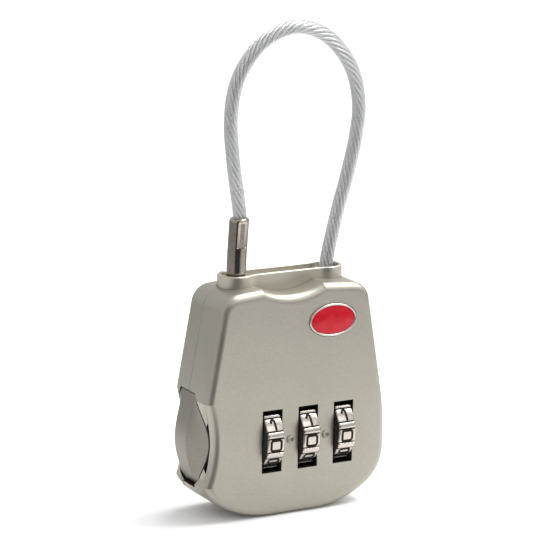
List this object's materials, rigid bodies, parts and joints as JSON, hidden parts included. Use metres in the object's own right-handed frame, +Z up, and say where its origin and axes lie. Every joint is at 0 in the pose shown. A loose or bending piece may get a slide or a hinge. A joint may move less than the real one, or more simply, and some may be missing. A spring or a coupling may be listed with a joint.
{
  "type": "cable luggage lock",
  "caption": "Pocket-size combination luggage lock: satin metal body, side release button, numbered dials and a flexible steel cable loop with a plug-in end.",
  "frame": {"origin": "bottom centre of the body, on the plane where the front and rear shells meet", "axes": "+X across the lock to the viewer's right, +Y from the front to the back, +Z up along the cable loop"},
  "size_m": [0.0336, 0.0127, 0.0775],
  "materials": {
    "satin_nickel": "satin nickel plate on die-cast zinc",
    "bright_nickel": "polished nickel",
    "chrome_dial": "polished, numerals filled in black",
    "zinc_steel": "zinc-plated steel",
    "spring_steel": "plain spring steel",
    "brass_parts": "machined",
    "steel_rope": "twisted galvanised strands",
    "clear_jacket": "clear flexible PVC, gloss",
    "red_enamel": "red enamel"
  },
  "bodies": {
    "housing": {"front_housing": "satin_nickel", "rear_housing": "satin_nickel", "neck_collar": "satin_nickel", "enamel_inlay": "red_enamel", "cable_rope_fixed": "steel_rope", "cable_jacket_fixed": "clear_jacket", "anchor_ferrule": "bright_nickel", "button_spring": "spring_steel", "ejector_spring": "spring_steel", "dial_spindle": "zinc_steel", "detent_spring": "spring_steel", "key_barrel": "brass_parts", "housing_rivets": "zinc_steel"},
    "plug": {"plug_ferrule": "bright_nickel", "cable_rope_free": "steel_rope", "cable_jacket_free": "clear_jacket", "ejector_cup": "zinc_steel"},
    "button": {"release_button": "satin_nickel", "latch_slide": "zinc_steel"},
    "left_wheel": {"dial_left": "chrome_dial", "sleeve_left": "brass_parts"},
    "centre_wheel": {"dial_centre": "chrome_dial", "sleeve_centre": "brass_parts"},
    "right_wheel": {"dial_right": "chrome_dial", "sleeve_right": "brass_parts"},
    "key_core": {"key_plug": "brass_parts", "key_wafers": "brass_parts", "key_cam": "zinc_steel", "key_clip": "spring_steel"},
    "reset": {"reset_plunger": "zinc_steel"}
  },
  "joints": [
    {"name": "button_press", "type": "slide", "parent": "housing", "child": "button", "axis": [1, 0, 0], "range_m": [0, 0.0022], "stiffness_N_per_m": 300, "springref_m": -0.001},
    {"name": "plug_lift", "type": "slide", "parent": "housing", "child": "plug", "axis": [0, 0, 1], "range_m": [0, 0.006], "deforming": ["ejector_spring"]},
    {"name": "dial_left_turn", "type": "hinge", "parent": "housing", "child": "left_wheel", "pos_m": [-0.0042, -0.0025, 0.01237], "axis": [1, 0, 0], "continuous": true},
    {"name": "dial_centre_turn", "type": "hinge", "parent": "housing", "child": "centre_wheel", "pos_m": [0.00222, -0.0025, 0.01237], "axis": [1, 0, 0], "continuous": true},
    {"name": "dial_right_turn", "type": "hinge", "parent": "housing", "child": "right_wheel", "pos_m": [0.00864, -0.0025, 0.01237], "axis": [1, 0, 0], "continuous": true},
    {"name": "key_turn", "type": "hinge", "parent": "housing", "child": "key_core", "pos_m": [0.0018, 0.0043, 0.0252], "axis": [0, 1, 0], "range_deg": [0, 90]},
    {"name": "reset_press", "type": "slide", "parent": "housing", "child": "reset", "axis": [-1, 0, 0], "range_m": [0, 0.0005]}
  ],
  "couplings": [
    {"joint": "plug_lift", "follows": "button_press", "ratio": 2.7272}
  ]
}
